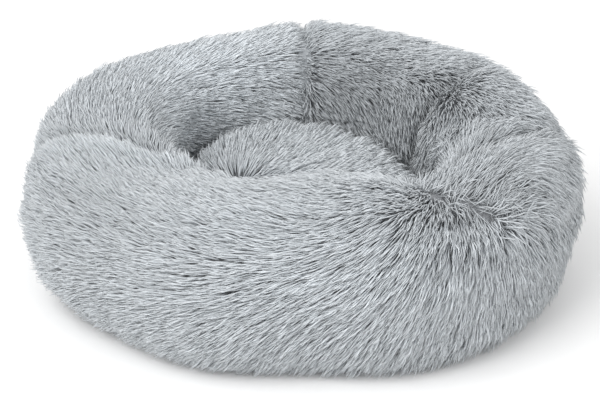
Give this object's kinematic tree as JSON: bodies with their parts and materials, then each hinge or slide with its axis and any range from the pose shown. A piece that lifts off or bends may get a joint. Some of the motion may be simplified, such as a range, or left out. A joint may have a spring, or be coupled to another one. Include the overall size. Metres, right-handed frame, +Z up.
{
  "type": "pet cushion bed",
  "caption": "Round fur-covered pet bed: a stuffed ring-shaped rim round a nest with a loose stuffed cushion, on an anti-slip base with a recessed zip.",
  "frame": {"origin": "on the floor, under the middle of the bed's outline", "axes": "+Z up, +X along the zip, +Y towards the back seam, away from the lower front of the rim"},
  "size_m": [0.6104, 0.5634, 0.2103],
  "materials": {
    "fur": "long-pile faux fur, cool light grey, matt with a soft sheen",
    "polyester_fibre": "loose white polyester fibre",
    "binding_tape": "woven grey binding tape",
    "anti_slip_cloth": "dark grey oxford cloth with rubber grip dots",
    "lining_cloth": "plain woven grey lining",
    "zip_tape_cloth": "herringbone zip tape",
    "zip_nylon": "moulded nylon coil",
    "zip_metal": "plated zinc",
    "label_satin": "blank white satin label"
  },
  "bodies": {
    "bed": {"rim_cover": "fur", "rim_filling": "polyester_fibre", "back_seam_tape": "binding_tape", "hem_binding": "binding_tape", "base_panel": "anti_slip_cloth", "base_wadding": "polyester_fibre", "floor_lining": "lining_cloth", "care_label": "label_satin", "zip_tape_front": "zip_tape_cloth", "zip_tape_back": "zip_tape_cloth", "zip_coil_front": "zip_nylon", "zip_coil_back": "zip_nylon", "zip_top_stop": "zip_metal", "zip_bottom_stop": "zip_metal"},
    "cushion": {"cushion_top": "fur", "cushion_filling": "polyester_fibre", "cushion_underside": "lining_cloth"},
    "zip_slider": {"zip_slider": "zip_metal"},
    "zip_pull": {"zip_pull": "zip_metal"}
  },
  "joints": [
    {"name": "cushion_lift", "type": "slide", "parent": "bed", "child": "cushion", "axis": [0, 0, 1], "range_m": [0, 0.22]},
    {"name": "zip_slide", "type": "slide", "parent": "bed", "child": "zip_slider", "axis": [-1, 0, 0], "range_m": [0, 0.27]},
    {"name": "pull_turn", "type": "hinge", "parent": "zip_slider", "child": "zip_pull", "pos_m": [0.138, 0.045, 0.0022], "axis": [0, -1, 0], "range_deg": [0, 150]}
  ]
}
